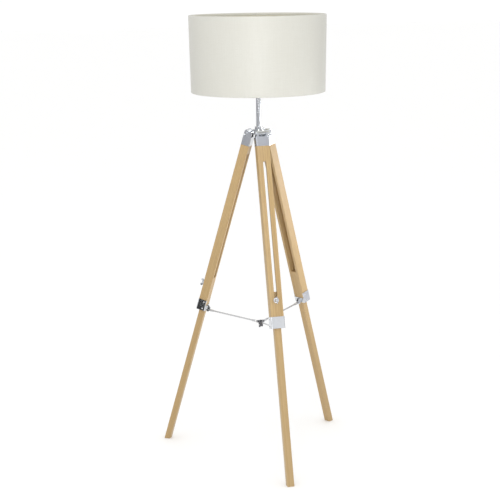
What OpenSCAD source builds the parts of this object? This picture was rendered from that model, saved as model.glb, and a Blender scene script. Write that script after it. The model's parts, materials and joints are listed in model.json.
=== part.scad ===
// Tripod floor lamp: telescopic wooden legs in chrome fittings, a chrome pole and a drum shade.
// Millimetres, +Z up. The floor is z = 0 and the origin is the middle of the lamp's bounding box.
// One leg points along -Y; the others stand 120 degrees round from it.

/* [Overall] */
// Height of the shade's top edge
shade_top_h = 1487; // [1470:1:1520]
// Height of the leg pivots
pivot_h = 1105; // [1095:1:1115]
// Distance from the pole's axis to each leg pivot
pivot_r = 35; // [35:0.5:37]
// Lean of each leg from the vertical, degrees
leg_tilt = 16.3; // [15.5:0.1:17]

/* [Upper leg] */
// Width of the channel-shaped upper leg
leg_w = 43; // [42:0.5:46]
// Depth of the upper leg, outer face to inner face
leg_d = 28.5; // [28:0.5:30]
// Thickness of the web at the outer face
web_t = 8; // [7.5:0.5:9]
// Width of the channel that the lower leg slides in
channel_w = 23.6; // [23.6:0.1:24.2]
// Width of the clamp's slot in the web
slot_w = 10; // [9:0.5:11]
// From the pivot to the upper leg's lower end
upper_end = 640.5; // [636:0.5:644]

/* [Lower leg] */
// Width of the sliding lower leg
lower_w = 23; // [22:0.5:23]
// Depth of the lower leg
lower_d = 20; // [19:0.5:20]
// From the pivot to the lower leg's top end
lower_top = 522.5; // [518:0.5:526]
// From the pivot to the clamp bolt
clamp_at = 550.5; // [546:0.5:552]
// How far the lower leg can slide up
slide_travel = 430; // [400:5:430]

/* [Fittings] */
// Diameter of the knuckles on the head
barrel_d = 16; // [14:0.5:16]
// Diameter of the pivot bolts
bolt_d = 6; // [5:0.5:6]
// Diameter of the clamp bolts
clamp_d = 8; // [6:0.5:8]
// Height of the chrome bracket round each upper leg's end
bracket_h = 38; // [34:1:40]
// Thickness of the bracket's metal
bracket_t = 1.75; // [1.5:0.05:2]

/* [Spreader] */
// Height of the hub's pins above the floor
hub_h = 453; // [448:1:458]
// Radius of the hub's core
hub_core_r = 8; // [7.5:0.5:9]
// Diameter of the spreader rods
rod_d = 5; // [4:0.5:5]

/* [Pole and shade] */
// Diameter of the pole
pole_d = 16; // [15:0.5:16]
// Diameter of the shade's top edge
shade_top_d = 450; // [440:2:460]
// Diameter of the shade's bottom edge
shade_bottom_d = 442; // [432:2:450]
// Height of the shade
shade_h = 250; // [240:2:260]

/* [Hidden] */
$fn = 64;

leg_name = ["front", "right", "left"];
leg_azimuth = [-90, 30, 150];
gap = 0.05;              // assembly gap between fitted pieces
slide_gap = 0.3;         // running gap round the sliding lower leg
run_gap = 0.05;          // radial gap of a turning fit
edge_r = 1.2;            // eased edges of the timber

// A leg's own frame has its pivot at the origin, +X out of the leg's outer face and -Z down it.
face_x = 9;              // the outer face, which is also the lug radius
inner_x = face_x - leg_d;
lower_x = face_x - web_t - slide_gap;
cap_top = 12.7;          // below the pivot
cap_end = 44;
cap_proud = 0.3;
cap_wall = 2.5;
channel_top = 73.5;
slot_top = clamp_at - slide_travel - 25;
slot_bottom = clamp_at + clamp_d / 2 + gap;
lug_t = 6.5;
barrel_l = 23.4;
lug_y = barrel_l / 2 + slide_gap;
lug_out = lug_y + lug_t;

bracket_top = upper_end + 1 - bracket_h;
strap_h = 18;
pin_x = inner_x - bracket_t - 6.25;
pin_z = -(upper_end - 0.5);
pin_d = 4;
ear_r = 5;
ear_y = 3.2;
ear_t = 2;
screw_x = face_x - 20;
screw_d = 3;
screw_z = [bracket_top + 8, bracket_top + 31];

// Wing nuts and wing bolts: boss radius, boss height, span, full height
nut_boss_r = 5.5;
nut_boss_h = 7;
nut_span = 25;
nut_h = 13;
hub_nut_boss_h = 5.5;
clamp_boss_r = 6.5;
clamp_boss_h = 8;
washer_r = 9;
washer_t = 1.6;
insert_r = 5.5;
insert_l = 14;

// Plan position of the pole's axis that centres the bounding box on the origin
foot_reach = pivot_r + pivot_h * tan(leg_tilt) + lower_x / cos(leg_tilt);
axis_y = (foot_reach - shade_top_d / 2) / 2;

// Spreader: rod pins in the legs' vertical planes, as radius and height
pin_r_at = pivot_r + pin_x * cos(leg_tilt) - pin_z * sin(leg_tilt);
pin_h_at = pivot_h + pin_x * sin(leg_tilt) + pin_z * cos(leg_tilt);
hub_pin_r = 12;
hub_pin_d = 2;
rod_slope = atan2(pin_h_at - hub_h, pin_r_at - hub_pin_r);
rod_l = norm([pin_h_at - hub_h, pin_r_at - hub_pin_r]);
eye_play = 7.5;          // how far the hub's pin slides in the rod's slotted eye
blade_t = 2;
blade_h = 7;
blade_slot = 3.8;
hub_bolt_d = 4;
hub_floor = 9.5;         // hub's underside below its pins
hub_floor_t = 2.4;
hub_rise = 4;            // hub's top above its pins
hub_slot = 2.8;
hub_lug_r = 3.5;
hub_lug_w = hub_slot + 3.8;
hub_pin_end = hub_lug_w / 2 + 0.6;

// Head
hub_top = pivot_h + 9;
head_core_r = 15;
head_plate_r = 18;
head_bottom = pivot_h - 9;
collar_r = 13;
collar_h = 9.5;
pole_r = pole_d / 2;
pole_wall = 1.2;
pole_nut_h = 8;
pole_bottom = head_bottom - pole_nut_h - 3;

// Lampholder and shade, upwards from the shade's bottom edge
shade_bottom_h = shade_top_h - shade_h;
shade_wall = 1.2;
wire_d = 4;
pole_top = shade_bottom_h + 9;
flange_h = pole_top + 18;
seat_h = flange_h + 2.5;
fitter_t = 2;
fitter_r = 30;
spoke_d = 3.6;
lower_ring_r = shade_bottom_d / 2 - shade_wall - wire_d / 2 - 0.1;
lower_ring_h = shade_bottom_h + 3;
skirt_r = 19.8;
skirt_in_r = 14.5;
skirt_top = seat_h + 32;
shell_r = 13.55;
cap_r = 13.2;
bulb_base_h = seat_h + 8;
neck_r = 13.8;
neck_h = skirt_top + 1;
bulb_r = 30;
bulb_centre_h = neck_h + 54;
glass_t = 1;

module at_axis() {
    translate([0, axis_y, 0]) children();
}

// Places children in leg i's own frame
module leg_frame(i) {
    at_axis() rotate([0, 0, leg_azimuth[i]])
        translate([pivot_r, 0, pivot_h]) rotate([0, -leg_tilt, 0]) children();
}

// A rectangle from x0 to x1, centred in Y, with rounded corners
module rounded_rect(x0, x1, w, r) {
    translate([x0 + r, -w / 2]) square([x1 - x0 - 2 * r, w]);
    translate([x0, r - w / 2]) square([x1 - x0, w - 2 * r]);
    for (x = [x0 + r, x1 - r], y = [r - w / 2, w / 2 - r]) translate([x, y]) circle(r);
}

// Extrudes downwards from depth a to depth b below the pivot
module down(a, b) {
    translate([0, 0, -b]) linear_extrude(b - a) children();
}

// Extrudes an X-Z outline between two Y values
module across(y0, y1) {
    translate([0, y1, 0]) rotate([90, 0, 0]) linear_extrude(y1 - y0) children();
}

// A cylinder along +Y from y0 to y1
module y_cylinder(r, y0, y1) {
    translate([0, y0, 0]) rotate([-90, 0, 0]) cylinder(r = r, h = y1 - y0);
}

// The two wings of a wing nut or wing bolt, standing on z = 0
module wings(boss_r, boss_h, span, height) {
    tip_r = 4;
    tip_x = span / 2 - tip_r;
    tip_z = height - tip_r;
    for (side = [0, 1]) mirror([side, 0, 0]) across(-1.3, 1.3) {
        translate([tip_x, tip_z]) circle(tip_r);
        polygon([
            [boss_r * 0.55, 1.2], [boss_r * 0.95, 1.2], [tip_x + tip_r * 0.85, tip_z - tip_r * 0.5],
            [tip_x - tip_r * 0.75, tip_z + tip_r * 0.65], [boss_r * 0.55, boss_h]
        ]);
    }
}

module wing_nut(bore_r, boss_r, boss_h, span, height) {
    difference() {
        union() {
            cylinder(r = boss_r, h = 2);
            translate([0, 0, 2]) cylinder(r1 = boss_r, r2 = boss_r * 0.75, h = boss_h - 2);
            wings(boss_r, boss_h, span, height);
        }
        translate([0, 0, -1]) cylinder(r = bore_r, h = height + 2);
    }
}

// ---- Head and pole ----

// Cast head: plate, core and three arms that end in knuckles
module head_hub() {
    color("silver") at_axis() difference() {
        union() {
            translate([0, 0, head_bottom]) cylinder(r = head_core_r, h = hub_top - head_bottom);
            translate([0, 0, hub_top - 3]) cylinder(r = head_plate_r, h = 3);
            for (a = leg_azimuth) rotate([0, 0, a]) {
                translate([0, -8, pivot_h - 7]) cube([pivot_r, 16, 14]);
                translate([pivot_r, 0, pivot_h])
                    y_cylinder(barrel_d / 2, -barrel_l / 2, barrel_l / 2);
            }
        }
        translate([0, 0, head_bottom - 1]) cylinder(r = pole_r + gap, h = 30);
        for (a = leg_azimuth) rotate([0, 0, a]) translate([pivot_r, 0, pivot_h])
            y_cylinder(bolt_d / 2 + run_gap, -barrel_l, barrel_l);
    }
}

module pole() {
    color("gainsboro") at_axis() translate([0, 0, pole_bottom]) difference() {
        cylinder(r = pole_r, h = pole_top - pole_bottom);
        translate([0, 0, -1]) cylinder(r = pole_r - pole_wall, h = pole_top - pole_bottom + 2);
    }
}

// Set collar that the pole stands in, above the head's plate
module pole_collar() {
    screw_h = collar_h / 2;
    color("silver") at_axis() translate([0, 0, hub_top]) difference() {
        union() {
            cylinder(r = collar_r, h = collar_h - 1.5);
            translate([0, 0, collar_h - 1.5]) cylinder(r1 = collar_r, r2 = collar_r - 1.5, h = 1.5);
        }
        translate([0, 0, -1]) cylinder(r = pole_r + gap, h = collar_h + 2);
        translate([0, 0, screw_h]) y_cylinder(2 + gap, 0, collar_r + 1);
    }
}

module collar_screw() {
    color("dimgray") at_axis() translate([0, 0, hub_top + collar_h / 2]) difference() {
        y_cylinder(2, pole_r + 2 * gap, collar_r - 0.5);
        y_cylinder(0.9, collar_r - 2.5, collar_r);
    }
}

// Lock nut on the pole's threaded end, under the head
module pole_nut() {
    color("silver") at_axis() translate([0, 0, head_bottom - pole_nut_h]) difference() {
        cylinder(r = 13.8, h = pole_nut_h, $fn = 6);
        translate([0, 0, -1]) cylinder(r = pole_r + gap, h = pole_nut_h + 2);
    }
}

// Plastic bush where a supply cord would enter the pole
module cable_bush() {
    bore_r = pole_r - pole_wall - gap;
    color("black") at_axis() translate([0, 0, pole_bottom - 3]) difference() {
        union() {
            cylinder(r = pole_r, h = 3);
            cylinder(r = bore_r, h = 11);
        }
        translate([0, 0, -1]) cylinder(r = 3.5, h = 13);
    }
}

// Stepped nipple that carries the lampholder on the pole
module top_nipple() {
    color("goldenrod") at_axis() translate([0, 0, pole_top - 16]) difference() {
        union() {
            cylinder(r = pole_r - pole_wall - gap, h = 16);
            cylinder(r = 5, h = 24);
        }
        translate([0, 0, -1]) cylinder(r = 3.5, h = 26);
    }
}

// ---- Lampholder, bulb and shade ----

module lampholder_base() {
    color("ivory") at_axis() rotate_extrude() polygon([
        [5.05, pole_top], [12, pole_top], [19, pole_top + 11], [19, flange_h], [23, flange_h],
        [23, seat_h], [skirt_in_r, seat_h], [skirt_in_r, pole_top + 12], [10.5, pole_top + 2.5],
        [5.05, pole_top + 2.5]
    ]);
}

module lampholder_skirt() {
    color("ivory") at_axis() translate([0, 0, seat_h]) difference() {
        cylinder(r = skirt_r, h = skirt_top - seat_h);
        translate([0, 0, -1]) cylinder(r = skirt_in_r, h = skirt_top - seat_h + 2);
    }
}

// Threaded metal shell that grips the bulb's cap
module lampholder_shell() {
    color("goldenrod") at_axis() translate([0, 0, seat_h + 7]) difference() {
        cylinder(r = skirt_in_r - gap, h = 22);
        translate([0, 0, -1]) cylinder(r = shell_r, h = 24);
    }
}

module lampholder_contact() {
    color("white") at_axis() translate([0, 0, seat_h + gap]) {
        cylinder(r = skirt_in_r - gap, h = 6);
        cylinder(r = 3, h = 7.6);
    }
}

// Ring nut that clamps the shade's carrier on the lampholder
module shade_ring_nut() {
    color("ivory") at_axis() translate([0, 0, seat_h + fitter_t + 0.1]) difference() {
        union() {
            cylinder(r = 25, h = 3);
            cylinder(r = 23, h = 9);
        }
        translate([0, 0, -1]) cylinder(r = skirt_r + run_gap, h = 11);
    }
}

module bulb_cap() {
    color("silver") at_axis() translate([0, 0, bulb_base_h]) difference() {
        union() {
            translate([0, 0, 2]) cylinder(r = cap_r, h = neck_h - bulb_base_h - 2);
            cylinder(r = 4, h = 3);
        }
        translate([0, 0, 4]) cylinder(r = cap_r - 0.8, h = neck_h);
    }
}

// Outline of the bulb at offset t inside the glass's outer face: neck, flare and globe
function bulb_outline(t) = let (
    start = 35, steps = 22, r = bulb_r - t, base_r = neck_r - t,
    join_r = r * sin(start), join_z = bulb_centre_h - r * cos(start)
) concat(
    [for (k = [0 : 6]) let (u = k / 6, s = u * u * (3 - 2 * u))
        [base_r + (join_r - base_r) * s, neck_h + (join_z - neck_h) * u]],
    [for (k = [1 : steps]) let (a = start + (180 - start) * k / steps)
        [max(r * sin(a), 0), bulb_centre_h - r * cos(a)]]
);

module bulb_glass() {
    outer = bulb_outline(0);
    inner = bulb_outline(glass_t);
    color("white") at_axis() rotate_extrude()
        polygon(concat(outer, [for (k = [len(inner) - 1 : -1 : 0]) inner[k]]));
}

module wire_ring(r, h) {
    translate([0, 0, h]) rotate_extrude() translate([r, 0]) circle(wire_d / 2, $fn = 24);
}

// Flat ring of the shade's carrier, which the ring nut clamps on the lampholder
module shade_fitter() {
    color("white") at_axis() translate([0, 0, seat_h]) difference() {
        cylinder(r = fitter_r, h = fitter_t);
        translate([0, 0, -1]) cylinder(r = skirt_r + 0.2, h = fitter_t + 2);
    }
}

// Three spokes from the fitter's rim to the shade's lower ring
module shade_spokes() {
    hub_z = seat_h + fitter_t / 2;
    run = lower_ring_r - wire_d / 2 - fitter_r - 2 * gap;
    drop = hub_z - lower_ring_h;
    color("white") at_axis() for (a = [90, 210, 330]) rotate([0, 0, a])
        translate([fitter_r + gap, 0, hub_z]) rotate([0, 90 + atan2(drop, run), 0])
        cylinder(r = spoke_d / 2, h = norm([drop, run]) - 0.4);
}

module shade_lower_ring() {
    color("white") at_axis() wire_ring(lower_ring_r, lower_ring_h);
}

module shade_top_ring() {
    color("white") at_axis()
        wire_ring(shade_top_d / 2 - shade_wall - wire_d / 2 - 0.15, shade_top_h - 3);
}

module shade_drum() {
    color("ivory") at_axis() rotate_extrude($fn = 128) polygon([
        [shade_bottom_d / 2 - shade_wall, shade_bottom_h], [shade_bottom_d / 2, shade_bottom_h],
        [shade_top_d / 2, shade_top_h], [shade_top_d / 2 - shade_wall, shade_top_h]
    ]);
}

// ---- Legs ----

// Outline of a lug: round over the pivot, lower towards the pole
module lug_outline() {
    circle(face_x);
    translate([-12, 0]) circle(5);
    translate([-17, -cap_top - 1]) square([17 + face_x, cap_top + 1]);
    translate([-12, -1]) square([12, 6]);
}

module leg_cap(i) {
    color("silver") leg_frame(i) difference() {
        union() {
            down(cap_top, cap_end) rounded_rect(
                inner_x - cap_proud, face_x + cap_proud, leg_w + 2 * cap_proud, edge_r + cap_proud);
            across(lug_y, lug_out) lug_outline();
            across(-lug_out, -lug_y) lug_outline();
        }
        down(cap_top + cap_wall, cap_end + 1)
            rounded_rect(inner_x + cap_wall, face_x - cap_wall, leg_w - 2 * cap_wall, edge_r);
        y_cylinder(bolt_d / 2 + 0.02, -leg_w, leg_w);
    }
}

module upper_leg(i) {
    tenon = cap_wall + gap;
    color("burlywood") leg_frame(i) difference() {
        union() {
            down(cap_end, upper_end) rounded_rect(inner_x, face_x, leg_w, edge_r);
            down(cap_top + cap_wall + gap, cap_end + 5)
                rounded_rect(inner_x + tenon, face_x - tenon, leg_w - 2 * tenon, edge_r);
        }
        translate([inner_x - 1, -channel_w / 2, -upper_end - 1])
            cube([leg_d - web_t + 1, channel_w, upper_end + 1 - channel_top]);
        translate([face_x - web_t - 1, -slot_w / 2, -slot_bottom + slot_w / 2])
            cube([web_t + 2, slot_w, slot_bottom - slot_top - slot_w]);
        for (z = [slot_top + slot_w / 2, slot_bottom - slot_w / 2])
            translate([face_x - web_t - 1, 0, -z]) rotate([0, 90, 0])
            cylinder(r = slot_w / 2, h = web_t + 2);
        for (z = screw_z, side = [-1, 1]) translate([screw_x, side * leg_w / 2, -z])
            y_cylinder(screw_d / 2 + gap, -8.5, 8.5);
    }
}

module pivot_bolt(i) {
    color("silver") leg_frame(i) {
        y_cylinder(bolt_d / 2, -lug_out - 1, lug_out + nut_boss_h + 2);
        y_cylinder(6, -lug_out - 1.5, -lug_out);
        intersection() {
            translate([0, -lug_out + 4, 0]) sphere(r = 8.1);
            y_cylinder(6, -lug_out - 6, -lug_out - 1.5);
        }
    }
}

module pivot_wing_nut(i) {
    color("silver") leg_frame(i) translate([0, lug_out + gap, 0]) rotate([-90, 62, 0])
        wing_nut(bolt_d / 2 + run_gap, nut_boss_r, nut_boss_h, nut_span, nut_h);
}

// Folded bracket: a collar round the leg's end, open above its inner strap, with two ears
module bracket(i) {
    color("silver") leg_frame(i) difference() {
        union() {
            down(bracket_top, bracket_top + bracket_h) rounded_rect(
                inner_x - bracket_t, face_x + bracket_t, leg_w + 2 * bracket_t, edge_r + bracket_t);
            for (y = [-ear_y - ear_t, ear_y]) across(y, y + ear_t) {
                translate([pin_x, pin_z]) circle(ear_r);
                translate([pin_x, pin_z]) square([inner_x - pin_x, 14]);
                translate([pin_x - ear_r, pin_z]) square([ear_r, 6]);
                translate([pin_x, pin_z + 6]) circle(ear_r);
            }
        }
        down(bracket_top - 1, bracket_top + bracket_h + 9)
            rounded_rect(inner_x - gap, face_x + gap, leg_w + 2 * gap, edge_r);
        translate([inner_x - bracket_t - 1, -leg_w, -bracket_top - bracket_h + strap_h])
            cube([bracket_t + 1 - gap, 2 * leg_w, bracket_h]);
        translate([pin_x, 0, pin_z]) y_cylinder(pin_d / 2 + 0.02, -leg_w, leg_w);
        for (z = screw_z) translate([screw_x, 0, -z])
            y_cylinder(screw_d / 2 + 0.1, -leg_w, leg_w);
    }
}

// Two round-headed screws through each side of the bracket
module bracket_screws(i) {
    head_y = leg_w / 2 + bracket_t + gap;
    color("gainsboro") leg_frame(i) for (z = screw_z, side = [0, 1])
        mirror([0, side, 0]) translate([screw_x, 0, -z]) {
            y_cylinder(screw_d / 2, leg_w / 2 - 8, head_y + 0.5);
            intersection() {
                translate([0, head_y - 2, 0]) sphere(r = 3.6);
                y_cylinder(3, head_y, head_y + 3);
            }
        }
}

module rod_pin(i) {
    pin_end = ear_y + ear_t + 1.2;
    color("silver") leg_frame(i) translate([pin_x, 0, pin_z]) {
        y_cylinder(pin_d / 2, -pin_end, pin_end);
        y_cylinder(3.2, -pin_end, -ear_y - ear_t - gap);
        y_cylinder(3.2, ear_y + ear_t + gap, pin_end);
    }
}

// Rod: eye on the bracket's pin, sleeve, round rod, and a flat blade with a slotted eye
module rod(i) {
    tip = rod_l + 3;
    eye_t = 2 * (ear_y - slide_gap);
    color("gray") at_axis() rotate([0, 0, leg_azimuth[i]])
        translate([pin_r_at, 0, pin_h_at]) rotate([0, -rod_slope, 0]) difference() {
            union() {
                y_cylinder(4, -eye_t / 2, eye_t / 2);
                translate([-9, -eye_t / 2, -2.5]) cube([9, eye_t, 5]);
                translate([-20, 0, 0]) rotate([0, 90, 0]) cylinder(r = 3.75, h = 12);
                translate([-(rod_l - 18), 0, 0]) rotate([0, 90, 0])
                    cylinder(r = rod_d / 2, h = rod_l - 26);
                translate([blade_h / 2 - tip, -blade_t / 2, -blade_h / 2])
                    cube([22 - blade_h / 2, blade_t, blade_h]);
                translate([blade_h / 2 - tip, 0, 0])
                    y_cylinder(blade_h / 2, -blade_t / 2, blade_t / 2);
            }
            y_cylinder(pin_d / 2 + run_gap, -eye_t, eye_t);
            for (x = [-rod_l + 0.65, -rod_l + eye_play - 0.65]) translate([x, 0, 0])
                y_cylinder(blade_slot / 2, -blade_t, blade_t);
            translate([-rod_l + 0.65, -blade_t, -blade_slot / 2])
                cube([eye_play - 1.3, 2 * blade_t, blade_slot]);
        }
}

// Sliding lower leg, cut level at the floor
module lower_leg(i) {
    length = (pivot_h + 30) / cos(leg_tilt);
    color("tan") difference() {
        leg_frame(i) difference() {
            down(lower_top, length) rounded_rect(lower_x - lower_d, lower_x, lower_w, edge_r);
            translate([lower_x - insert_l - gap, 0, -clamp_at]) rotate([0, 90, 0])
                cylinder(r = insert_r + gap, h = insert_l + 1);
        }
        translate([-600, -600, -100]) cube([1200, 1200, 100]);
    }
}

// Threaded insert in the lower leg
module clamp_insert(i) {
    color("goldenrod") leg_frame(i) translate([lower_x - insert_l, 0, -clamp_at])
        rotate([0, 90, 0]) difference() {
            cylinder(r = insert_r, h = insert_l - 0.1);
            translate([0, 0, -1]) cylinder(r = clamp_d / 2 + run_gap, h = insert_l + 2);
        }
}

module clamp_bolt(i) {
    seat_x = face_x + 2 * gap + washer_t;
    color("silver") leg_frame(i) translate([seat_x, 0, -clamp_at]) rotate([0, 90, 0]) {
        translate([0, 0, lower_x - insert_l + 1 - seat_x])
            cylinder(r = clamp_d / 2, h = seat_x - lower_x + insert_l);
        cylinder(r = clamp_boss_r, h = 2.5);
        translate([0, 0, 2.5])
            cylinder(r1 = clamp_boss_r, r2 = clamp_boss_r * 0.75, h = clamp_boss_h - 2.5);
        wings(clamp_boss_r, clamp_boss_h, nut_span, nut_h);
    }
}

module clamp_washer(i) {
    color("gainsboro") leg_frame(i) translate([face_x + gap, 0, -clamp_at])
        rotate([0, 90, 0]) difference() {
            cylinder(r = washer_r, h = washer_t);
            translate([0, 0, -1]) cylinder(r = clamp_d / 2 + run_gap, h = washer_t + 2);
        }
}

// ---- Spreader hub ----

// Core with three forked arms, open upwards, and a slot for each rod's blade
module spreader_hub() {
    color("dimgray") at_axis() translate([0, 0, hub_h]) difference() {
        union() {
            translate([0, 0, -hub_floor]) cylinder(r = hub_core_r, h = hub_floor + hub_rise);
            for (a = leg_azimuth) rotate([0, 0, a]) {
                translate([hub_core_r - 4, -hub_lug_w / 2, -hub_lug_r])
                    cube([hub_pin_r - hub_core_r + 4, hub_lug_w, 2 * hub_lug_r]);
                translate([hub_pin_r, 0, 0]) y_cylinder(hub_lug_r, -hub_lug_w / 2, hub_lug_w / 2);
            }
        }
        for (a = leg_azimuth) rotate([0, 0, a]) {
            translate([0, -hub_slot / 2, hub_floor_t - hub_floor])
                cube([hub_pin_r + hub_lug_r + 1, hub_slot, hub_floor + hub_rise]);
            translate([hub_pin_r, 0, 0]) y_cylinder(hub_pin_d / 2 + 0.02, -hub_lug_w, hub_lug_w);
        }
        translate([0, 0, -hub_floor - 1])
            cylinder(r = hub_bolt_d / 2 + gap, h = hub_floor + hub_rise + 2);
    }
}

// Cross pins of the three forks
module hub_pins() {
    color("gainsboro") at_axis() for (a = leg_azimuth) rotate([0, 0, a])
        translate([hub_pin_r, 0, hub_h]) y_cylinder(hub_pin_d / 2, -hub_pin_end, hub_pin_end);
}

module hub_bolt() {
    head_r = 3.8;
    head_z = hub_h + hub_rise + gap;
    bolt_bottom = hub_h - hub_floor - hub_nut_boss_h - 1.5;
    color("dimgray") at_axis() {
        translate([0, 0, bolt_bottom]) cylinder(r = hub_bolt_d / 2, h = head_z + 1 - bolt_bottom);
        translate([0, 0, head_z]) cylinder(r = head_r, h = 1);
        intersection() {
            translate([0, 0, head_z - 2.6]) sphere(r = 5.1);
            translate([0, 0, head_z + 0.9]) cylinder(r = head_r, h = 3);
        }
    }
}

module hub_wing_nut() {
    color("dimgray") at_axis() translate([0, 0, hub_h - hub_floor - gap]) rotate([180, 0, 35])
        wing_nut(hub_bolt_d / 2 + run_gap, 4.5, hub_nut_boss_h, 20, 9.5);
}

head_hub();
pole();
pole_collar();
collar_screw();
pole_nut();
cable_bush();
top_nipple();
lampholder_base();
lampholder_skirt();
lampholder_shell();
lampholder_contact();
shade_ring_nut();
bulb_cap();
bulb_glass();
shade_fitter();
shade_spokes();
shade_lower_ring();
shade_top_ring();
shade_drum();
spreader_hub();
hub_pins();
hub_bolt();
hub_wing_nut();
for (i = [0 : 2]) {
    leg_cap(i);
    upper_leg(i);
    pivot_bolt(i);
    pivot_wing_nut(i);
    bracket(i);
    bracket_screws(i);
    rod_pin(i);
    rod(i);
    lower_leg(i);
    clamp_insert(i);
    clamp_bolt(i);
    clamp_washer(i);
}
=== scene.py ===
import json
import math

import bmesh
import bpy
from mathutils import Matrix, Vector

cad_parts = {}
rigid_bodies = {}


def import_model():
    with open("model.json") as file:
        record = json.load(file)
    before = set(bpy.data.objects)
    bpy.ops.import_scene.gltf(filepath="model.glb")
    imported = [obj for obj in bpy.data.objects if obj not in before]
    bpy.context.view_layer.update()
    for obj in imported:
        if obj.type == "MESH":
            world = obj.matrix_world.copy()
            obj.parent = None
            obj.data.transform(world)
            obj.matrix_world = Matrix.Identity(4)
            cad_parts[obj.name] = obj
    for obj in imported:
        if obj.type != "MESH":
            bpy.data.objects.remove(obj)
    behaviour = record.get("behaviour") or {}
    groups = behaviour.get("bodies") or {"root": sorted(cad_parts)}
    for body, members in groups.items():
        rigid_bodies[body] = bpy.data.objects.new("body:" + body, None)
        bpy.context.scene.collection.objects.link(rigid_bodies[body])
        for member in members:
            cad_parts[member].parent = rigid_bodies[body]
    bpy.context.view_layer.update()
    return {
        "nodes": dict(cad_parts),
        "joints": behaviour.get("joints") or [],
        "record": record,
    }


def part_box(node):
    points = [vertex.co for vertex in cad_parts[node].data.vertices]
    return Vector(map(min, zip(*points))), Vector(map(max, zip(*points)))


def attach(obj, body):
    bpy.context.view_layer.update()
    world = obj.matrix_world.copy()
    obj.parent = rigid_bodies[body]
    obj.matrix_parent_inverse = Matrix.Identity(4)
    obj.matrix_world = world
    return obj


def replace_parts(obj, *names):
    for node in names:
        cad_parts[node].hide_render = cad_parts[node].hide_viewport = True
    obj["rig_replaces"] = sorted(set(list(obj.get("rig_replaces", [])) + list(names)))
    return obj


# Looks of the tripod floor lamp. Metres, in the CAD model's frame: +Z up, floor at z = 0.
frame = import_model()
MM = 0.001

LEGS = ("front", "right", "left")
BODIES = frame["record"]["behaviour"]["bodies"]
BODY_OF = {node: body for body, nodes in BODIES.items() for node in nodes}
SLOT_OF = {part["node"]: part["material_slot"] for part in frame["record"]["subparts"]}
SPOKE_ANGLES = (90, 210, 330)
CLEARANCE = 0.05 * MM
RING_WIRE_RADIUS = 2 * MM
FLOOR_SIZE = 40

# Camera: distance, height and side step from the pole's axis, and its aim in degrees
VIEW_AZIMUTH = -15.0
CAMERA_DISTANCE = 3.9157
CAMERA_HEIGHT = 1.5891
CAMERA_SIDE = 0.0170
CAMERA_PITCH = 12.115
CAMERA_YAW = 0.737
CAMERA_ROLL = -0.75
CAMERA_LENS = 85.53
CAMERA_SHIFT_Y = -0.0257


# ---- Places ----

def axis_point(z=0.0):
    """A point on the pole's axis."""
    lo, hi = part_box("pole")
    return Vector(((lo.x + hi.x) / 2, (lo.y + hi.y) / 2, z))


def leg_matrix(leg):
    """The leg's own frame: its pivot is the origin, +Z runs up the leg and +X out of its outer face."""
    joints = {j["name"]: j for j in frame["joints"]}
    up = Vector(joints[f"extend_{leg}"]["axis"])
    side = Vector(joints[f"fold_{leg}"]["axis"])
    matrix = Matrix.Identity(4)
    for column, axis in enumerate((side.cross(up), side, up)):
        matrix.col[column].xyz = axis
    matrix.translation = Vector(joints[f"fold_{leg}"]["pos_m"])
    return matrix


def leg_of(node):
    return next((leg for leg in LEGS if node.endswith("_" + leg)), None)


def node_matrix(node):
    """The frame that a node's replacement is built in: its leg's, or one on the pole's axis."""
    leg = leg_of(node)
    return leg_matrix(leg) if leg else Matrix.Translation(axis_point())


# ---- Mesh helpers ----

def finish_piece(name, bm, matrix, nodes, materials, body=None):
    """Makes an object of bm, which is in matrix's frame, to stand for nodes, and returns it."""
    mesh = bpy.data.meshes.new(name)
    bm.to_mesh(mesh)
    bm.free()
    for face in mesh.polygons:
        face.use_smooth = True
    for material in materials:
        mesh.materials.append(material)
    piece = bpy.data.objects.new(name, mesh)
    bpy.context.scene.collection.objects.link(piece)
    piece.matrix_world = matrix
    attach(piece, body or BODY_OF[nodes[0]])
    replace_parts(piece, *nodes)
    return piece


def ease_edges(piece, width, segments=2, angle=34):
    """Rounds the sharp edges of a piece and keeps its flat faces flat."""
    bevel = piece.modifiers.new("eased", "BEVEL")
    bevel.width = width
    bevel.segments = segments
    bevel.limit_method = "ANGLE"
    bevel.angle_limit = math.radians(angle)
    bevel.use_clamp_overlap = True
    normals = piece.modifiers.new("normals", "WEIGHTED_NORMAL")
    normals.keep_sharp = True


def node_mesh(node, matrix):
    """A node's shape in matrix's frame, with its flat faces made whole."""
    bm = bmesh.new()
    bm.from_mesh(frame["nodes"][node].data)
    bmesh.ops.remove_doubles(bm, verts=bm.verts, dist=2e-6)
    bmesh.ops.dissolve_limit(bm, angle_limit=math.radians(0.4), verts=bm.verts, edges=bm.edges)
    bm.transform(matrix.inverted())
    return bm


def eased_node(node, material, width, segments=2):
    """A piece with the node's shape and rounded edges."""
    matrix = node_matrix(node)
    piece = finish_piece(f"{node}_eased", node_mesh(node, matrix), matrix, [node], [material])
    ease_edges(piece, width, segments)
    return piece


def grid_faces(bm, rows, close_rows, close_columns):
    """Joins rows of vertices, each as long as the others, into a quad surface."""
    faces = []
    for i in range(len(rows) if close_rows else len(rows) - 1):
        a, b = rows[i], rows[(i + 1) % len(rows)]
        for k in range(len(a) if close_columns else len(a) - 1):
            m = (k + 1) % len(a)
            faces.append(bm.faces.new((a[k], a[m], b[m], b[k])))
    return faces


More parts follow.
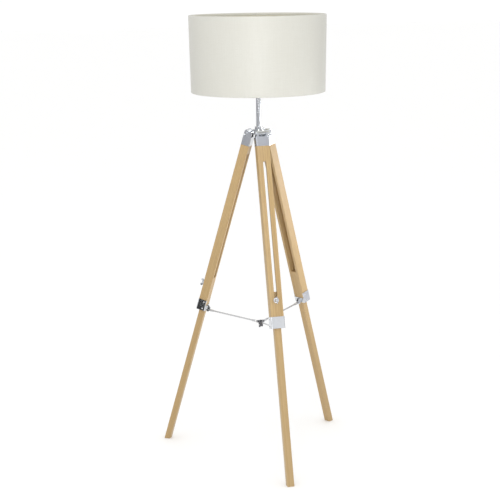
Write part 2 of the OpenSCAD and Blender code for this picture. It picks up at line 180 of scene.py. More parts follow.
def turned(profile, steps=96, closed=True, reshape=None):
    """A solid of revolution. profile is (radius, height) points, anticlockwise; reshape may change a radius.

    An open profile starts and ends on the axis."""
    bm = bmesh.new()
    inner = profile if closed else profile[1:-1]
    columns = []
    for step in range(steps):
        angle = math.tau * step / steps
        points = [(reshape(r, z, angle) if reshape else r, z) for r, z in inner]
        columns.append([bm.verts.new((r * math.cos(angle), r * math.sin(angle), z)) for r, z in points])
    grid_faces(bm, columns, True, closed)
    if not closed:
        first = bm.verts.new((0, 0, profile[0][1]))
        last = bm.verts.new((0, 0, profile[-1][1]))
        for i in range(steps):
            a, b = columns[i], columns[(i + 1) % steps]
            bm.faces.new((first, a[0], b[0]))
            bm.faces.new((last, b[-1], a[-1]))
    bmesh.ops.recalc_face_normals(bm, faces=bm.faces)
    return bm


def tube(bm, path, radius, closed=False, sides=20):
    """Adds a round wire along path to bm, with domed ends if it is open."""
    rows = []
    count = len(path)
    for i in range(count):
        ahead = path[(i + 1) % count] if closed else path[min(i + 1, count - 1)]
        behind = path[i - 1] if closed or i else path[0]
        along = (ahead - behind).normalized()
        across = along.cross(Vector((0, 0, 1)))
        if across.length < 0.1:
            across = along.cross(Vector((1, 0, 0)))
        across.normalize()
        upward = across.cross(along)
        rows.append([
            bm.verts.new(path[i] + radius * (math.cos(a) * across + math.sin(a) * upward))
            for a in (math.tau * k / sides for k in range(sides))
        ])
    grid_faces(bm, rows, closed, True)
    if not closed:
        for row, tip, inward in ((rows[0], path[0], path[1]), (rows[-1], path[-1], path[-2])):
            out = (tip - inward).normalized()
            ring = row
            for share in (0.45, 0.8):
                scale = math.sqrt(1 - share * share)
                nxt = [bm.verts.new(tip + (v.co - tip) * scale + out * radius * share) for v in row]
                grid_faces(bm, [ring, nxt], False, True)
                ring = nxt
            end = bm.verts.new(tip + out * radius)
            for k in range(sides):
                bm.faces.new((ring[k], ring[(k + 1) % sides], end))
    bmesh.ops.recalc_face_normals(bm, faces=bm.faces)


def arc(centre, radius, start, end, steps):
    """Points round centre, (radius, height), from one angle to another in degrees."""
    angles = [math.radians(start + (end - start) * k / steps) for k in range(steps + 1)]
    return [(centre[0] + radius * math.cos(a), centre[1] + radius * math.sin(a)) for a in angles]


# ---- Materials ----

class Shader:
    """A node material with one Principled shader, and short ways to add nodes to it."""

    def __init__(self, name, color, roughness, metallic=0.0, **direct):
        self.material = bpy.data.materials.new(name)
        self.material.use_nodes = True
        self.tree = self.material.node_tree
        self.bsdf = self.tree.nodes["Principled BSDF"]
        self.bsdf.inputs["Base Color"].default_value = (*color, 1)
        self.bsdf.inputs["Roughness"].default_value = roughness
        self.bsdf.inputs["Metallic"].default_value = metallic
        for socket, value in direct.items():
            self.bsdf.inputs[socket.replace("_", " ")].default_value = value

    def add(self, kind, inputs=(), **settings):
        """Adds a node. inputs maps a socket's name or number to a value or to another node's output."""
        node = self.tree.nodes.new("ShaderNode" + kind)
        for key, value in settings.items():
            setattr(node, key, value)
        for socket, value in dict(inputs).items():
            if isinstance(value, bpy.types.NodeSocket):
                self.tree.links.new(value, node.inputs[socket])
            else:
                node.inputs[socket].default_value = value
        return node

    def math(self, operation, a, b=0.0):
        return self.add("Math", {0: a, 1: b}, operation=operation).outputs[0]

    def place(self, scale=(1, 1, 1)):
        """Coordinates on the piece itself, in metres, times scale."""
        if not hasattr(self, "coordinates"):
            self.coordinates = self.add("TexCoord")
        return self.add("Mapping", {"Vector": self.coordinates.outputs["Object"], "Scale": scale}).outputs[0]

    def noise(self, scale, detail=3.0, roughness=0.5):
        """Noise with scale waves a metre along each axis."""
        inputs = {"Vector": self.place(scale), "Scale": 1.0, "Detail": detail, "Roughness": roughness}
        return self.add("TexNoise", inputs).outputs[0]

    def remap(self, value, low, high, start=0.0, end=1.0):
        inputs = {"Value": value, "From Min": start, "From Max": end, "To Min": low, "To Max": high}
        return self.add("MapRange", inputs).outputs[0]

    def mix(self, factor, a, b, blend="MIX"):
        node = self.add("Mix", data_type="RGBA", blend_type=blend)
        colour_sockets = [s for s in node.inputs if s.type == "RGBA"]
        for socket, value in zip((node.inputs[0], *colour_sockets), (factor, a, b)):
            if isinstance(value, bpy.types.NodeSocket):
                self.tree.links.new(value, socket)
            elif socket is node.inputs[0]:
                socket.default_value = value
            else:
                socket.default_value = (*value, 1)
        return next(s for s in node.outputs if s.type == "RGBA")

    def set(self, socket, value):
        self.tree.links.new(value, self.bsdf.inputs[socket])

    def bump(self, height, depth, strength=1.0):
        """Relief of height, 0 to 1, that is depth metres deep."""
        node = self.add("Bump", {"Height": height, "Distance": depth, "Strength": strength})
        self.tree.links.new(node.outputs[0], self.bsdf.inputs["Normal"])


def timber():
    """Pale straight-grained wood under satin varnish, with its grain along the piece's own Z."""
    s = Shader("timber", (0.42, 0.29, 0.15), 0.42, Coat_Weight=0.12, Coat_Roughness=0.3)
    board = s.add("ObjectInfo").outputs["Random"]
    pith = {0: s.remap(board, 0.07, 0.13), 1: s.remap(board, -0.05, 0.04), 2: board}
    shift = s.add("CombineXYZ", pith).outputs[0]
    centre = s.add("VectorMath", {0: s.place((1, 1, 0.014)), 1: shift}, operation="ADD").outputs[0]
    growth = {"Vector": centre, "Scale": 75.0, "Distortion": 9.0, "Detail": 3.0, "Detail Scale": 0.5}
    rings = s.add("TexWave", growth, wave_type="RINGS", rings_direction="Z", wave_profile="SAW").outputs[1]
    figure = s.noise((22, 22, 1.1), 3.0)
    fibre = s.noise((1300, 1300, 8), 3.0, 0.65)
    pores = s.noise((620, 620, 18), 1.0)
    late = s.math("POWER", rings, 2.2)
    tone = s.mix(s.math("MULTIPLY", late, 0.75), (0.5, 0.352, 0.163), (0.33, 0.205, 0.08))
    tone = s.mix(s.remap(figure, 0.0, 0.6, 0.35, 0.7), tone, (0.39, 0.255, 0.105))
    tone = s.mix(s.remap(fibre, 0.0, 0.42, 0.42, 0.7), tone, (0.31, 0.192, 0.074))
    tone = s.mix(s.remap(pores, 0.4, 0.0, 0.28, 0.36), tone, (0.2, 0.115, 0.045))
    tone = s.mix(s.remap(board, 0.0, 0.2), tone, (0.47, 0.33, 0.165))
    normal = s.add("SeparateXYZ", {0: s.coordinates.outputs["Normal"]}).outputs[2]
    end_grain = s.remap(s.math("ABSOLUTE", normal), 0.0, 0.55, 0.75, 0.98)
    worn = s.remap(s.add("NewGeometry").outputs["Pointiness"], 0.0, 0.35, 0.53, 0.62)
    tone = s.mix(worn, tone, (0.52, 0.38, 0.22))
    s.set("Base Color", s.mix(end_grain, tone, (0.24, 0.15, 0.072)))
    s.set("Roughness", s.remap(fibre, 0.36, 0.52, 0.3, 0.7))
    s.bump(s.math("ADD", s.math("MULTIPLY", rings, 0.35), fibre), 0.00009, 0.5)
    return s.material


def chrome(name="chrome", color=(0.61, 0.63, 0.66), roughness=0.07, wave=0.00012, waves_per_metre=90):
    """Plated metal: polished, with waves of that depth, fine wiping marks and a duller film here and there."""
    s = Shader(name, color, roughness, 1.0)
    film = s.noise((45, 45, 45), 3.0)
    marks = s.noise((2600, 2600, 160), 2.0)
    waves = s.noise((waves_per_metre,) * 3, 1.0)
    worn = s.remap(s.add("NewGeometry").outputs["Pointiness"], 0.0, 0.3, 0.53, 0.6)
    tone = s.mix(s.remap(film, 0.0, 0.35, 0.45, 0.75), color, tuple(0.82 * c for c in color))
    s.set("Base Color", s.mix(worn, tone, (0.72, 0.71, 0.69)))
    dulled = s.remap(film, roughness * 0.7, roughness * 1.8)
    s.set("Roughness", s.math("ADD", dulled, s.math("MULTIPLY", marks, 0.05)))
    s.bump(s.math("ADD", waves, s.math("MULTIPLY", marks, 0.0000024 / wave)), wave, 0.4)
    return s.material


def drawn_steel():
    """Plated rod, drawn through a die: fine lines along the rod."""
    s = Shader("drawn_steel", (0.55, 0.55, 0.56), 0.25, 1.0)
    lines = s.noise((900, 900, 900), 2.0)
    film = s.noise((60, 60, 60), 2.0)
    s.set("Base Color", s.mix(s.remap(film, 0.0, 0.5, 0.35, 0.75), (0.58, 0.58, 0.59), (0.42, 0.42, 0.43)))
    s.set("Roughness", s.remap(lines, 0.2, 0.36))
    s.bump(lines, 0.00003, 0.5)
    return s.material


def brass():
    s = Shader("brass", (0.72, 0.52, 0.24), 0.25, 1.0)
    tarnish = s.noise((180, 180, 180), 4.0, 0.6)
    s.set("Base Color", s.mix(s.remap(tarnish, 0.0, 0.6, 0.4, 0.8), (0.76, 0.57, 0.28), (0.45, 0.3, 0.12)))
    s.set("Roughness", s.remap(tarnish, 0.16, 0.4))
    s.bump(tarnish, 0.00002, 0.4)
    return s.material


def moulded(name, color, roughness):
    """Moulded plastic: very fine even texture and slight unevenness of gloss."""
    s = Shader(name, color, roughness)
    skin = s.noise((2600, 2600, 2600), 2.0)
    cloud = s.noise((70, 70, 70), 2.0)
    s.set("Base Color", s.mix(s.remap(cloud, 0.0, 0.4, 0.4, 0.7), color, tuple(0.86 * c for c in color)))
    s.set("Roughness", s.remap(cloud, roughness * 0.85, roughness * 1.15))
    s.bump(skin, 0.00003, 0.5)
    return s.material


def ceramic():
    s = Shader("ceramic", (0.8, 0.78, 0.72), 0.16, Coat_Weight=0.4, Coat_Roughness=0.08)
    specks = s.noise((900, 900, 900), 1.0)
    s.set("Base Color", s.mix(s.remap(specks, 0.0, 1.0, 0.68, 0.76), (0.82, 0.8, 0.75), (0.5, 0.45, 0.38)))
    s.bump(s.noise((160, 160, 160), 2.0), 0.00004, 0.5)
    return s.material


def opal_glass():
    """Opal glass: white through its whole wall, with a smooth glossy face."""
    s = Shader("opal_glass", (0.86, 0.86, 0.84), 0.12, Coat_Weight=0.5, Coat_Roughness=0.04)
    cloud = s.noise((40, 40, 40), 2.0)
    s.set("Base Color", s.mix(s.remap(cloud, 0.0, 0.5, 0.4, 0.7), (0.9, 0.9, 0.88), (0.8, 0.8, 0.77)))
    s.bump(cloud, 0.00004, 0.4)
    return s.material


def powder_coat():
    s = Shader("powder_coat", (0.84, 0.84, 0.81), 0.4)
    peel = s.noise((1100, 1100, 1100), 2.0)
    s.set("Base Color", s.mix(s.remap(peel, 0.0, 0.4, 0.4, 0.7), (0.86, 0.86, 0.83), (0.74, 0.74, 0.7)))
    s.set("Roughness", s.remap(peel, 0.34, 0.48))
    s.bump(peel, 0.00006, 0.5)
    return s.material


def shade_cloth():
    """Smooth cotton laminated on a liner: a plain weave of fine threads, slubs and a soft sheen."""
    s = Shader("shade_cloth", (0.56, 0.55, 0.5), 0.55, Coat_Weight=0.5, Coat_Roughness=0.42)
    threads = 2400.0
    x, y, z = s.add("SeparateXYZ", {0: s.place()}).outputs
    radius = (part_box("shade_drum")[1].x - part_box("shade_drum")[0].x) / 2
    turn = s.math("MULTIPLY", s.math("ARCTAN2", y, x), radius * threads)
    rise = s.math("MULTIPLY", z, threads)
    warp = s.math("SINE", turn)
    weft = s.math("SINE", rise)
    weave = s.remap(s.math("MULTIPLY", warp, weft), 0.0, 1.0, -1.0, 1.0)
    slubs = s.noise((30, 30, 700), 3.0, 0.6)
    slubs_up = s.noise((500, 500, 14), 3.0, 0.6)
    cloud = s.noise((14, 14, 10), 2.0)
    yarn = s.math("MULTIPLY", s.math("ADD", slubs, slubs_up), 0.5)
    tone = s.mix(s.remap(yarn, 0.0, 0.6, 0.38, 0.66), (0.585, 0.581, 0.533), (0.525, 0.516, 0.461))
    tone = s.mix(s.remap(weave, 0.22, 0.0), tone, (0.446, 0.434, 0.38))
    s.set("Base Color", s.mix(s.remap(cloud, 0.0, 0.25, 0.4, 0.65), tone, (0.549, 0.538, 0.48)))
    s.set("Roughness", s.remap(weave, 0.62, 0.5))
    s.bump(s.math("ADD", weave, s.math("MULTIPLY", yarn, 1.0)), 0.00005, 0.5)
    return s.material


def shade_liner():
    """The shade's stiff plastic liner: smooth, faintly cloudy and warm white."""
    s = Shader("shade_liner", (0.74, 0.71, 0.62), 0.36)
    cloud = s.noise((26, 26, 12), 3.0)
    s.set("Base Color", s.mix(s.remap(cloud, 0.0, 0.6, 0.35, 0.7), (0.86, 0.83, 0.69), (0.79, 0.75, 0.6)))
    s.set("Roughness", s.remap(cloud, 0.3, 0.45))
    s.bump(s.noise((400, 400, 90), 2.0), 0.00005, 0.4)
    return s.material


LOOKS = {
    "timber": timber(),
    "chrome": chrome(),
    "dark_plating": chrome("dark_plating", (0.13, 0.13, 0.14), 0.2),
    "steel_rod": drawn_steel(),
    "bright_screws": chrome("bright_screws", (0.66, 0.66, 0.68), 0.16),
    "brass": brass(),
    "white_plastic": moulded("white_plastic", (0.82, 0.81, 0.77), 0.42),
    "ceramic": ceramic(),
    "black_plastic": moulded("black_plastic", (0.025, 0.025, 0.025), 0.45),
    "bulb_glass": opal_glass(),
    "bulb_cap": chrome("bulb_cap", (0.68, 0.68, 0.69), 0.22),
    "white_wire": powder_coat(),
    "shade_fabric": shade_cloth(),
}


OTHER_LOOKS = {
    "bracket": chrome("pressed_chrome", (0.66, 0.68, 0.71), wave=0.0011, waves_per_metre=45),
    "pole": chrome("tube_chrome", wave=0.00003, waves_per_metre=40),
}


# ---- Pieces ----

def fabric_drum():
    """The drum: one sheet, lapped and glued at the back, with its edges rolled over the two wire rings."""
    lap = 10 * MM
    thickness = 0.9 * MM
    hem = 7 * MM
    lo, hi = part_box("shade_drum")
    top_lo, top_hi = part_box("shade_top_ring")
    low_lo, low_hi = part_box("shade_lower_ring")
    wire = (top_hi.z - top_lo.z) / 2
    roll = wire + thickness / 2 + CLEARANCE
    top_wire = ((top_hi.x - top_lo.x) / 2 - wire, top_hi.z - wire)
    low_wire = ((low_hi.x - low_lo.x) / 2 - wire, lower_ring_z())
    lean = math.degrees(math.atan2(top_wire[0] - low_wire[0], top_wire[1] - low_wire[1]))
    top = arc(top_wire, roll, -lean, 172, 12)
    low = arc(low_wire, roll, -172, -lean, 12)
    inward = (top[-1][0] + 0.6 * MM, low[0][0] + 0.6 * MM)
    wall_steps = 24
    foot, head = low[-1], top[0]
    wall = [
        tuple(a + (b - a) * k / wall_steps for a, b in zip(foot, head))
        for k in range(1, wall_steps)
    ]
    profile = [(inward[1], low_wire[1] + hem), *low, *wall, *top, (inward[0], top_wire[1] - hem)]
    radius = (hi.x - lo.x) / 2
    steps = 240
    turn = math.tau + lap / radius
    seam_at = math.radians(90 + VIEW_AZIMUTH)

    bm = bmesh.new()
    outer, inner = [], []
    for i in range(steps + 1):
        angle = turn * i / steps
        over = max(0.0, min(1.0, (angle - math.tau + 0.06) / 0.05))
        lift = (thickness + CLEARANCE) * over * over * (3 - 2 * over)
        c, s = math.cos(seam_at + angle), math.sin(seam_at + angle)
        for rows, side in ((outer, 0.5), (inner, -0.5)):
            row = []
            for k, (r, z) in enumerate(profile):
                before, after = profile[max(k - 1, 0)], profile[min(k + 1, len(profile) - 1)]
                dr, dz = after[0] - before[0], after[1] - before[1]
                size = math.hypot(dr, dz)
                r_out = r + side * thickness * dz / size + lift * max(dz / size, 0.0)
                row.append(bm.verts.new((r_out * c, r_out * s, z - side * thickness * dr / size)))
            rows.append(row)
    grid_faces(bm, outer, False, False)
    liner = grid_faces(bm, inner, False, False)
    across = len(profile) - 1
    for index, face in enumerate(liner):
        on_wall = len(low) < index % across < len(low) + wall_steps
        face.material_index = 1 if on_wall else 0
    for i in range(steps):
        bm.faces.new((outer[i][0], outer[i + 1][0], inner[i + 1][0], inner[i][0]))
        bm.faces.new((outer[i][-1], outer[i + 1][-1], inner[i + 1][-1], inner[i][-1]))
    for i in (0, steps):
        for k in range(across):
            bm.faces.new((outer[i][k], outer[i][k + 1], inner[i][k + 1], inner[i][k]))
    bmesh.ops.recalc_face_normals(bm, faces=bm.faces)
    piece = finish_piece("shade_fabric", bm, Matrix.Translation(axis_point()), ["shade_drum"],
                         [LOOKS["shade_fabric"], shade_liner()])


def lower_ring_z():
    """Height of the middle of the shade's lower ring wire."""
    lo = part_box("shade_lower_ring")[0]
    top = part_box("shade_top_ring")
    return lo.z + (top[1].z - top[0].z) / 2


def ring_wire(name, node, height):
    """A welded wire ring, with the butt weld's slight swelling at the back."""
    lo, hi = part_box(node)
    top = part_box("shade_top_ring")
    wire = (top[1].z - top[0].z) / 2
    radius = (hi.x - lo.x) / 2 - wire
    path = [Vector((radius * math.cos(a), radius * math.sin(a), height))
            for a in (math.tau * k / 180 for k in range(180))]
    bm = bmesh.new()
    tube(bm, path, wire, closed=True, sides=16)
    weld = Vector((0, radius, height))
    for v in bm.verts:
        near = max(0.0, 1 - (v.co - weld).length / (3.5 * MM))
        axis = Vector((v.co.x, v.co.y, 0)).normalized() * radius + Vector((0, 0, height))
        v.co += (v.co - axis) * 0.18 * near
    return finish_piece(name, bm, Matrix.Translation(axis_point()), [node], [LOOKS["white_wire"]])


def carrier_spokes():
    """Three wires from the fitter ring's rim to the lower ring, with a weld bead at each end."""
    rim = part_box("shade_fitter")
    inner = (rim[1].x - rim[0].x) / 2
    hub_z = (rim[0].z + rim[1].z) / 2
    lo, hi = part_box("shade_lower_ring")
    wire = (hi.z - lo.z) / 2
    outer, ring_z = (hi.x - lo.x) / 2 - 2 * wire, (hi.z + lo.z) / 2
    bm = bmesh.new()
    for angle in SPOKE_ANGLES:
        out = Vector((math.cos(math.radians(angle)), math.sin(math.radians(angle)), 0))

        def at(r, z):
            return out * r + Vector((0, 0, z))

        level = ring_z + 0.4 * MM
        bend = [
            at(outer - 9 * MM + 5 * MM * k / 4, level + (hub_z - level) * 0.03 * (1 - k / 4) ** 2)
            for k in range(5)
        ]
        tube(bm, [at(inner + 0.5 * MM, hub_z), *bend, at(outer - 1 * MM, level)], wire * 0.9)
        tube(bm, [at(inner - 1 * MM, hub_z), at(inner + 3 * MM, hub_z - 0.1 * MM)], wire * 1.1, sides=14)
        tube(bm, [at(outer - 2.2 * MM, level), at(outer - 0.6 * MM, level)], wire * 1.12, sides=14)
    finish_piece("shade_spoke_wires", bm, Matrix.Translation(axis_point()), ["shade_spokes"],
                 [LOOKS["white_wire"]])


def cross_head_screws():
    """The brackets' round-headed screws, with a cross recess in each head."""
    long_side, short_side, recess_depth = 3.4 * MM, 0.8 * MM, 0.9 * MM
    for leg in LEGS:
        node = f"bracket_screws_{leg}"
        piece = eased_node(node, LOOKS["bright_screws"], 0.2 * MM)
        bm = bmesh.new()
        bm.from_mesh(piece.data)
        islands, left = [], set(bm.verts)
        while left:
            front = [left.pop()]
            island = set(front)
            while front:
                for edge in front.pop().link_edges:
                    for v in edge.verts:
                        if v in left:
                            left.discard(v)
                            island.add(v)
                            front.append(v)
            islands.append(island)
        cutter = bmesh.new()
        for island in islands:
            tip = max(island, key=lambda v: abs(v.co.y)).co.y
            x = (min(v.co.x for v in island) + max(v.co.x for v in island)) / 2
            z = (min(v.co.z for v in island) + max(v.co.z for v in island)) / 2
            turn = Matrix.Rotation(x * 900 + z * 70, 4, "Y")
            for arm in ((long_side, short_side), (short_side, long_side)):
                size = Matrix.Diagonal((arm[0], 2 * recess_depth, arm[1], 1))
                bmesh.ops.create_cube(cutter, size=1, matrix=Matrix.Translation((x, tip, z)) @ turn @ size)
        bm.free()
        mesh = bpy.data.meshes.new(f"recess_{leg}")
        cutter.to_mesh(mesh)
        cutter.free()
        tool = bpy.data.objects.new(f"recess_{leg}", mesh)
        bpy.context.scene.collection.objects.link(tool)
        tool.matrix_world = piece.matrix_world
        cut = piece.modifiers.new("recess", "BOOLEAN")
        cut.object = tool
        cut.solver = "EXACT"
        cut.use_self = True
        piece.modifiers.move(len(piece.modifiers) - 1, 1)
        bpy.context.view_layer.update()
        graph = bpy.context.evaluated_depsgraph_get()
        piece.data = bpy.data.meshes.new_from_object(piece.evaluated_get(graph), depsgraph=graph)
        piece.modifiers.clear()
        bpy.data.objects.remove(tool)


def bulb():
    """Opal globe and its rolled cap."""
    lo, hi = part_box("bulb_glass")
    radius = (hi.x - lo.x) / 2
    centre = hi.z - radius
    cap_lo, cap_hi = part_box("bulb_cap")
    cap_r = (cap_hi.x - cap_lo.x) / 2
    neck_r = cap_r + 0.6 * MM
    join = 35.0
    start = (radius * math.sin(math.radians(join)), centre - radius * math.cos(math.radians(join)))
    flare = []
    for k in range(17):
        u = k / 16
        flare.append((neck_r + (start[0] - neck_r) * u * u * (3 - 2 * u), lo.z + (start[1] - lo.z) * u))
    globe = arc((0, centre), radius, join - 90, 90, 40)[1:-1]
    neck_wall = 1.0 * MM
    outside = [*flare, *globe, (0.0, hi.z)]
    bm = turned([(0.0, lo.z), (neck_r - neck_wall, lo.z), *outside], 96, closed=False)
    finish_piece("bulb_globe", bm, Matrix.Translation(axis_point()), ["bulb_glass"], [LOOKS["bulb_glass"]])

    pitch, depth = 3.6 * MM, 1.1 * MM
    rim = cap_hi.z - 1.5 * MM
    bottom = cap_lo.z + 2 * MM

    def thread(r, z, angle):
        if r < cap_r - 2 * MM:
            return r
        fade = max(0.0, min(1.0, (z - bottom - 1.5 * MM) / pitch, (rim - 3 * MM - z) / pitch))
        return r - depth * fade * (0.5 - 0.5 * math.cos(math.tau * z / pitch - angle))

    side = [(cap_r, bottom + 1.5 * MM + (rim - bottom - 1.5 * MM) * k / 72) for k in range(73)]
    contact = [(0.0, cap_lo.z), (3.2 * MM, cap_lo.z), (4 * MM, cap_lo.z + 0.8 * MM), (4 * MM, bottom)]
    skirt = [(9 * MM, bottom), (12 * MM, bottom + 0.7 * MM), *side, (cap_r + 0.25 * MM, cap_hi.z - 0.6 * MM)]
    lip = [(cap_r - 0.2 * MM, cap_hi.z), (cap_r - 1.2 * MM, cap_hi.z), (0.0, cap_hi.z)]
    bm = turned([*contact, *skirt, *lip], 72, closed=False, reshape=thread)
    finish_piece("bulb_cap_rolled", bm, Matrix.Translation(axis_point()), ["bulb_cap"], [LOOKS["bulb_cap"]])


def lampholder():
    """The holder's threaded skirt and the ribbed ring nut on it."""
    lo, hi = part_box("lampholder_skirt")
    outer = (hi.x - lo.x) / 2
    shell_lo, shell_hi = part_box("lampholder_shell")
    inner = (shell_hi.x - shell_lo.x) / 2 + CLEARANCE
    pitch = 2.5 * MM

    def thread(r, z, angle):
        if r < outer - 0.1 * MM:
            return r
        fade = max(0.0, min(1.0, (z - lo.z - 1 * MM) / pitch, (hi.z - 1.5 * MM - z) / pitch))
        return r - 0.7 * MM * fade * (0.5 - 0.5 * math.cos(math.tau * z / pitch - angle))

    rows = 84
    side = [(outer, lo.z + (hi.z - lo.z - 0.8 * MM) * k / rows) for k in range(rows + 1)]
    mouth = [(outer - 0.8 * MM, hi.z), (inner + 0.5 * MM, hi.z)]
    profile = [(inner, hi.z - 0.5 * MM), (inner, lo.z), *side, *mouth]
    bm = turned(profile, 96, reshape=thread)
    finish_piece("lampholder_skirt_threaded", bm, Matrix.Translation(axis_point()), ["lampholder_skirt"],
                 [LOOKS["white_plastic"]])

    lo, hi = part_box("shade_ring_nut")
    flange = (hi.x - lo.x) / 2
    bore = outer + CLEARANCE
    grip = flange - 2 * MM
    step = lo.z + 3 * MM
    ribs = 36

    def ribbed(r, z, angle):
        if r < grip - 0.5 * MM or z < step + 0.9 * MM:
            return r
        return r - 0.5 * MM * (1 - abs(math.sin(ribs * angle / 2)))

    profile = [
        (bore, lo.z), (flange - 0.4 * MM, lo.z), (flange, lo.z + 0.4 * MM), (flange, step - 0.4 * MM),
        (flange - 0.4 * MM, step), (grip + 0.4 * MM, step), (grip, step + 0.4 * MM), (grip, step + 1 * MM),
        (grip, hi.z - 1 * MM), (grip - 0.3 * MM, hi.z - 0.3 * MM), (grip - 1 * MM, hi.z),
        (bore + 0.4 * MM, hi.z), (bore, hi.z - 0.4 * MM),
    ]
    piece = finish_piece("shade_ring_nut_ribbed", turned(profile, 36 * 6, reshape=ribbed),
                         Matrix.Translation(axis_point()), ["shade_ring_nut"], [LOOKS["white_plastic"]])
    piece.modifiers.new("normals", "WEIGHTED_NORMAL")


def fittings():
    """Every other node keeps its CAD shape, with edges rounded as on cast, pressed, turned or sanded parts."""
    width_of = {
        "head_hub": 0.8, "pole": 0.3, "pole_collar": 0.5, "collar_screw": 0.2, "pole_nut": 0.6,
        "cable_bush": 0.5, "top_nipple": 0.3, "lampholder_base": 0.6, "lampholder_shell": 0.1, "lampholder_contact": 0.4,
        "shade_fitter": 0.4, "spreader_hub": 0.5, "hub_pins": 0.15,
        "hub_bolt": 0.4, "hub_wing_nut": 0.6, "leg_cap": 0.9, "upper_leg": 0.7, "pivot_bolt": 0.4,
        "pivot_wing_nut": 0.6, "bracket": 0.45, "bracket_screws": 0.2, "rod_pin": 0.4, "rod": 0.35,
        "lower_leg": 0.7, "clamp_insert": 0.2, "clamp_bolt": 0.6, "clamp_washer": 0.4,
    }
    replaced = {n for o in bpy.context.scene.objects for n in o.get("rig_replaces", [])}
    for node in sorted(frame["nodes"]):
        if node in replaced:
            continue
        leg = leg_of(node)
        kind = node[: -len(leg) - 1] if leg else node
        eased_node(node, OTHER_LOOKS.get(kind, LOOKS[SLOT_OF[node]]), width_of[kind] * MM)


# ---- Stage, lights and camera ----

def in_view(point):
    """A point given as right, back and up from the pole's foot as the camera stands, in the lamp's frame."""
    return axis_point() + Matrix.Rotation(math.radians(VIEW_AZIMUTH), 3, "Z") @ Vector(point)


def softbox(name, place, aim, size, power, spread=180):
    light = bpy.data.lights.new(name, "AREA")
    light.shape = "RECTANGLE"
    light.size, light.size_y = size
    light.energy = power
    light.spread = math.radians(spread)
    lamp = bpy.data.objects.new(name, light)
    bpy.context.scene.collection.objects.link(lamp)
    lamp.location = in_view(place)
    lamp.rotation_euler = (in_view(aim) - lamp.location).to_track_quat("-Z", "Y").to_euler()


def card_for_gloss(name, place, aim, size, grey):
    """A grey card that only shows in reflections, to give the chrome its darker parts."""
    bm = bmesh.new()
    bmesh.ops.create_grid(bm, x_segments=1, y_segments=1, size=0.5)
    mesh = bpy.data.meshes.new(name)
    bm.to_mesh(mesh)
    bm.free()
    card = bpy.data.objects.new(name, mesh)
    bpy.context.scene.collection.objects.link(card)
    card.location = in_view(place)
    card.rotation_euler = (in_view(aim) - card.location).to_track_quat("-Z", "Y").to_euler()
    card.scale = (*size, 1)
    mesh.materials.append(Shader(name, (grey, grey, grey * 1.05), 1.0).material)
    card.visible_camera = card.visible_diffuse = card.visible_shadow = card.visible_transmission = False


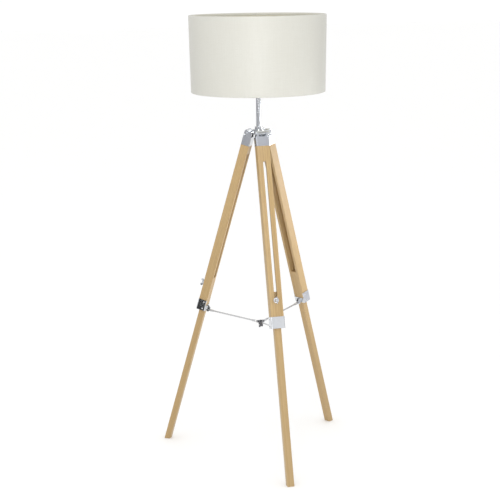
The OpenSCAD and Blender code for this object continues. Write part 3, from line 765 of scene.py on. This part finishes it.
def studio():
    bm = bmesh.new()
    bmesh.ops.create_grid(bm, x_segments=1, y_segments=1, size=FLOOR_SIZE)
    mesh = bpy.data.meshes.new("floor")
    bm.to_mesh(mesh)
    bm.free()
    floor = bpy.data.objects.new("floor", mesh)
    bpy.context.scene.collection.objects.link(floor)
    mesh.materials.append(Shader("floor", (0.97, 0.97, 0.965), 0.9).material)

    world = bpy.data.worlds.new("studio")
    world.use_nodes = True
    world.node_tree.nodes["Background"].inputs["Color"].default_value = (1, 1, 1, 1)
    world.node_tree.nodes["Background"].inputs["Strength"].default_value = 1.03
    bpy.context.scene.world = world

    softbox("front_softbox", (0.0, -3.4, 2.3), (0, 0, 0.9), (1.4, 2.0), 25)
    softbox("shade_strip", (0.0, -4.4, 1.15), (0, 0, 1.35), (0.5, 0.9), 0.58, 22)
    softbox("right_softbox", (2.3, 0.1, 0.75), (0, 0, 0.72), (1.1, 0.4), 1.5, 30)
    card_for_gloss("card_left_low", (-0.94, -0.85, 0.14), (-0.25, 0, 0.5), (0.46, 0.27), 0.012)
    card_for_gloss("card_left_high", (-1.15, -1.7, 0.78), (-0.05, 0, 1.1), (1.1, 0.42), 0.52)
    card_for_gloss("card_front_low", (0.0, -3.3, 0.6), (0, 0, 1.1), (1.1, 0.8), 0.2)
    card_for_gloss("card_right_high", (1.5, -2.6, 2.1), (0, 0, 1.1), (1.6, 0.9), 0.72)
    card_for_gloss("card_right_low", (1.4, 0.2, 0.14), (0.2, 0.15, 0.5), (0.8, 0.36), 0.8)
    card_for_gloss("card_right_rod", (0.9, 0.03, 0.62), (0.1, 0.1, 0.47), (0.75, 0.42), 0.02)
    card_for_gloss("card_pole_right", (1.9, -0.5, 0.98), (0, 0, 1.1), (1.2, 0.5), 0.5)
    card_for_gloss("card_side_left", (-1.5, 0.1, 0.95), (0, 0, 1.1), (2.6, 1.0), 0.4)
    card_for_gloss("card_side_right", (1.9, 1.1, 1.3), (0, 0, 1.1), (1.0, 1.4), 0.4)
    card_for_gloss("card_above", (0.2, -0.9, 2.6), (0, 0, 1.1), (0.7, 0.4), 0.03)
    card_for_gloss("strip_right", (0.45, -0.85, 1.12), (0, 0, 1.1), (0.1, 0.4), 0.01)
    card_for_gloss("strip_left", (-0.75, -0.5, 1.25), (0, 0, 1.1), (0.1, 0.4), 0.01)
    card_for_gloss("strip_top", (-0.1, -0.35, 2.0), (0, 0, 1.1), (0.5, 0.1), 0.01)


def camera():
    data = bpy.data.cameras.new("camera")
    data.lens = CAMERA_LENS
    data.sensor_width = 36
    data.shift_y = CAMERA_SHIFT_Y
    data.clip_end = 100
    eye = bpy.data.objects.new("camera", data)
    bpy.context.scene.collection.objects.link(eye)
    turn = Matrix.Rotation(math.radians(VIEW_AZIMUTH + CAMERA_YAW), 4, "Z")
    tilt = Matrix.Rotation(math.radians(90 - CAMERA_PITCH), 4, "X")
    roll = Matrix.Rotation(math.radians(CAMERA_ROLL), 4, "Z")
    place = Matrix.Translation(in_view((CAMERA_SIDE, -CAMERA_DISTANCE, CAMERA_HEIGHT)))
    eye.matrix_world = place @ turn @ tilt @ roll
    bpy.context.scene.camera = eye


camera()
studio()
bpy.context.scene.view_settings.view_transform = "Standard"
ring_wire("shade_top_ring_wire", "shade_top_ring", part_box("shade_top_ring")[1].z - RING_WIRE_RADIUS)
ring_wire("shade_lower_ring_wire", "shade_lower_ring", lower_ring_z())
carrier_spokes()
fabric_drum()
bulb()
lampholder()
cross_head_screws()
fittings()
